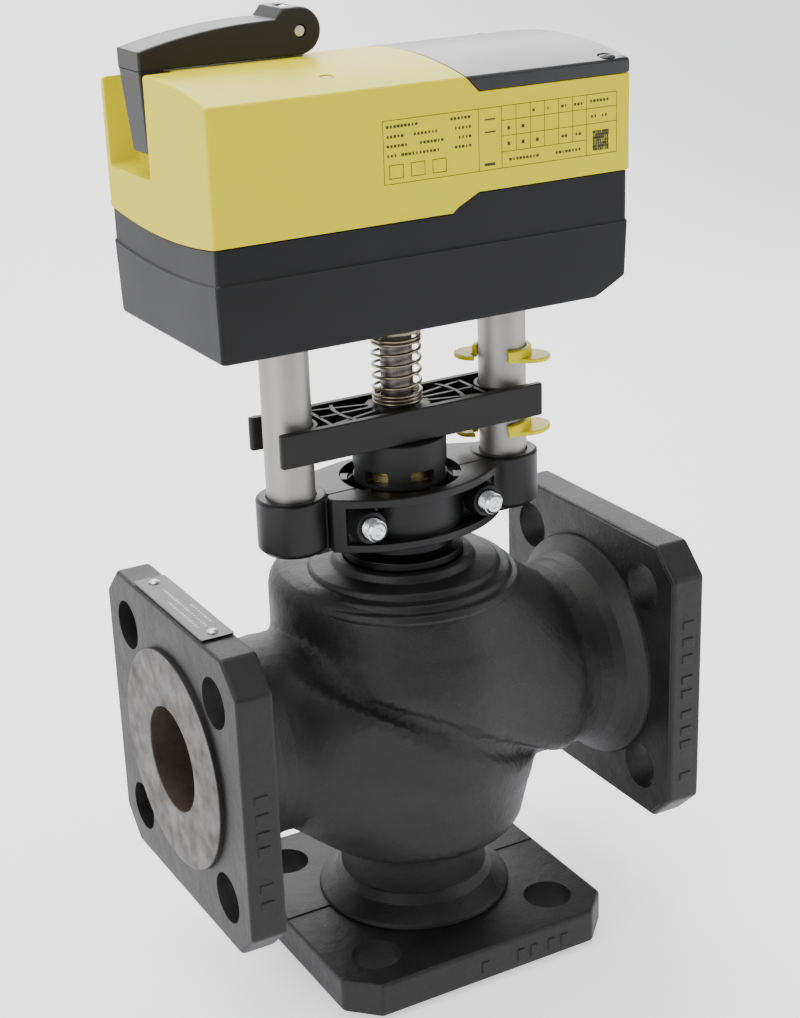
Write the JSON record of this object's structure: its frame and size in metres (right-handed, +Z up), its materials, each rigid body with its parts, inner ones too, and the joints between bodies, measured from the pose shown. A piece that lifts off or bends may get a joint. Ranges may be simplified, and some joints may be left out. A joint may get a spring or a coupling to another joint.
{
  "type": "motorized valve actuator",
  "caption": "Square-flanged three-way control valve with a pillar-mounted electric linear actuator, spring coupling, stroke indicators and folding crank.",
  "frame": {"origin": "middle of the bottom flange's raised face, on the stem axis", "axes": "+Z up the stem towards the actuator, +X along the pipe towards the right-hand port, -Y towards the side with the clamp screws' threaded ends"},
  "size_m": [0.2, 0.1168, 0.3624],
  "materials": {
    "casting": "black coated sand casting, satin, fine grain",
    "bonnet_finish": "smooth black coated turned steel",
    "machined_steel": "turned steel",
    "stem_steel": "ground steel",
    "brass_parts": "turned brass",
    "seal_rubber": "matte",
    "plate_black": "black anodised sheet, satin",
    "bright_steel": "bright",
    "bracket_black": "black satin coated die casting",
    "zinc_screws": "bright zinc plated",
    "pillar_satin": "satin drawn bar",
    "coupling_black": "moulded, satin",
    "spring_steel": "oiled spring steel with an olive tint",
    "indicator_yellow": "moulded, satin",
    "base_black": "moulded, satin with fine grain",
    "housing_yellow": "moulded, satin with fine grain",
    "light_pipe": "translucent amber light pipe",
    "cover_black": "moulded, satin",
    "cover_screws": "moulded, satin",
    "crank_black": "moulded, satin",
    "gear_grey": "moulded engineering plastic",
    "board_green": "solder-mask green"
  },
  "bodies": {
    "frame": {"valve_body": "casting", "bonnet": "bonnet_finish", "upper_seat_ring": "machined_steel", "lower_seat_ring": "machined_steel", "stem_guide_bush": "brass_parts", "stem_packing": "seal_rubber", "gland_nut": "brass_parts", "rating_plate": "plate_black", "plate_rivet_front": "bright_steel", "plate_rivet_back": "bright_steel", "clamp_bar": "bracket_black", "console_bracket": "bracket_black", "clamp_screw_left": "zinc_screws", "clamp_screw_right": "zinc_screws", "pillar_left": "pillar_satin", "pillar_right": "pillar_satin", "lower_pillar_screw_left": "zinc_screws", "lower_pillar_screw_right": "zinc_screws", "upper_pillar_screw_left": "zinc_screws", "upper_pillar_screw_right": "zinc_screws", "base_housing": "base_black", "top_housing": "housing_yellow", "status_light": "light_pipe", "terminal_cover": "cover_black", "cover_screw_front": "cover_screws", "cover_screw_back": "cover_screws", "housing_screw_1": "zinc_screws", "housing_screw_2": "zinc_screws", "housing_screw_3": "zinc_screws", "housing_screw_4": "zinc_screws", "entry_plug_front": "base_black", "entry_plug_back": "base_black", "crank_shaft": "machined_steel", "crank_pin": "bright_steel", "gear_plate": "bright_steel", "motor_plate": "bright_steel", "thrust_bearing": "machined_steel", "gear_axle": "bright_steel", "motor": "bright_steel", "circuit_board": "board_green", "terminal_block": "gear_grey", "coding_switch": "cover_black"},
    "lift": {"drive_spindle": "stem_steel", "spring_washer": "spring_steel", "retaining_ring": "spring_steel", "coupling_spring": "spring_steel", "crosspiece": "coupling_black", "coupling_sleeve": "coupling_black", "coupling_jaw_front": "brass_parts", "coupling_jaw_back": "brass_parts", "valve_stem": "stem_steel", "valve_plug": "machined_steel"},
    "upper_clip": {"upper_indicator": "indicator_yellow"},
    "lower_clip": {"lower_indicator": "indicator_yellow"},
    "crank": {"crank_handle": "crank_black"},
    "nut": {"nut_gear": "brass_parts"},
    "intermediate": {"intermediate_gear": "gear_grey"},
    "pinion": {"motor_pinion": "brass_parts"}
  },
  "joints": [
    {"name": "spindle_lift", "type": "slide", "parent": "frame", "child": "lift", "axis": [0, 0, 1], "range_m": [0, 0.008]},
    {"name": "upper_indicator_slide", "type": "slide", "parent": "frame", "child": "upper_clip", "axis": [0, 0, 1], "range_m": [0, 0.012]},
    {"name": "lower_indicator_slide", "type": "slide", "parent": "frame", "child": "lower_clip", "axis": [0, 0, 1], "range_m": [-0.0045, 0]},
    {"name": "crank_fold", "type": "hinge", "parent": "frame", "child": "crank", "pos_m": [-0.0285, 0.0175, 0.3544], "axis": [0, 1, 0], "range_deg": [0, 180]},
    {"name": "nut_turn", "type": "hinge", "parent": "frame", "child": "nut", "pos_m": [0, 0, 0.2895], "axis": [0, 0, 1], "range_deg": [0, 721]},
    {"name": "intermediate_turn", "type": "hinge", "parent": "frame", "child": "intermediate", "pos_m": [-0.01652, -0.02359, 0.2895], "axis": [0, 0, 1], "range_deg": [-2522, 0]},
    {"name": "pinion_turn", "type": "hinge", "parent": "frame", "child": "pinion", "pos_m": [-0.03384, -0.01359, 0.2947], "axis": [0, 0, 1], "range_deg": [0, 6482]}
  ],
  "couplings": [
    {"joint": "nut_turn", "follows": "spindle_lift", "rad_per_m": 1570.8},
    {"joint": "intermediate_turn", "follows": "spindle_lift", "rad_per_m": -5497.8},
    {"joint": "pinion_turn", "follows": "spindle_lift", "rad_per_m": 14137}
  ]
}
